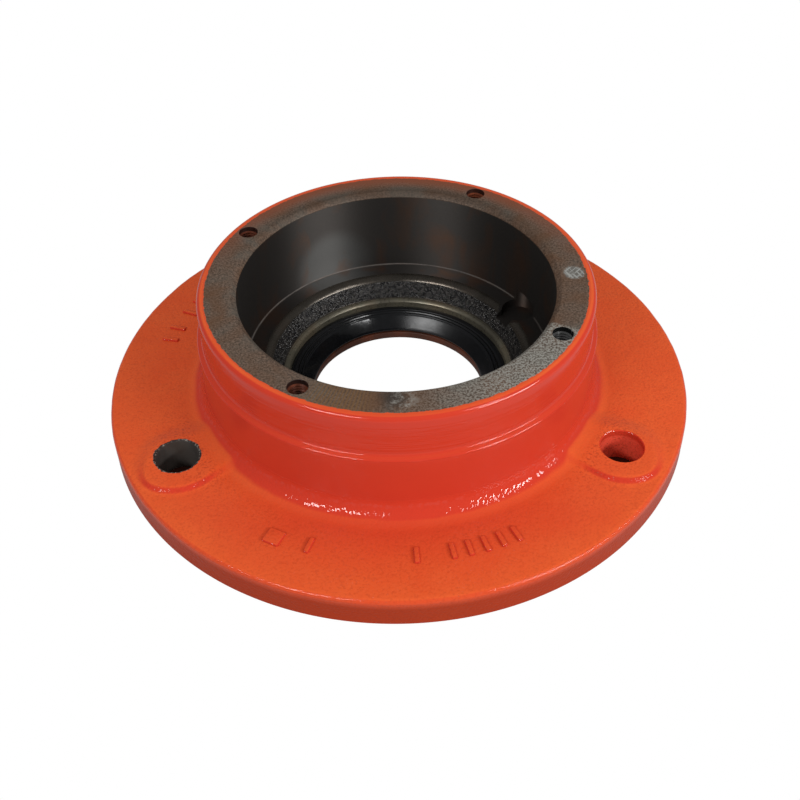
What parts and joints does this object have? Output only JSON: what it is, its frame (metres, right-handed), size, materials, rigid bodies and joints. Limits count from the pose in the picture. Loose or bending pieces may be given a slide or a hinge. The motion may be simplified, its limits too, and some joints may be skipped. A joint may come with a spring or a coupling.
{
  "type": "flanged bearing housing",
  "caption": "Cast round-flange bearing housing with a stepped hub, a deep bearing seat, tapped rim for a cover, raised bolt pads and a pressed-in lip seal at the bottom of the bore.",
  "frame": {"origin": "centre of the flange's underside, on the bore axis", "axes": "+Z along the bore axis from the flange to the rim; -Y faces the viewer, so the hidden bolt hole lies on +Y"},
  "size_m": [0.248, 0.248, 0.062],
  "materials": {
    "painted_casting": "glossy orange-red enamel on sand-cast iron, with the rim and the bore left bare and turned",
    "seal_rubber": "moulded black nitrile rubber, oiled",
    "spring_steel": "drawn wire"
  },
  "bodies": {
    "root": {"housing": "painted_casting", "oil_seal": "seal_rubber", "garter_spring": "spring_steel"}
  },
  "joints": []
}
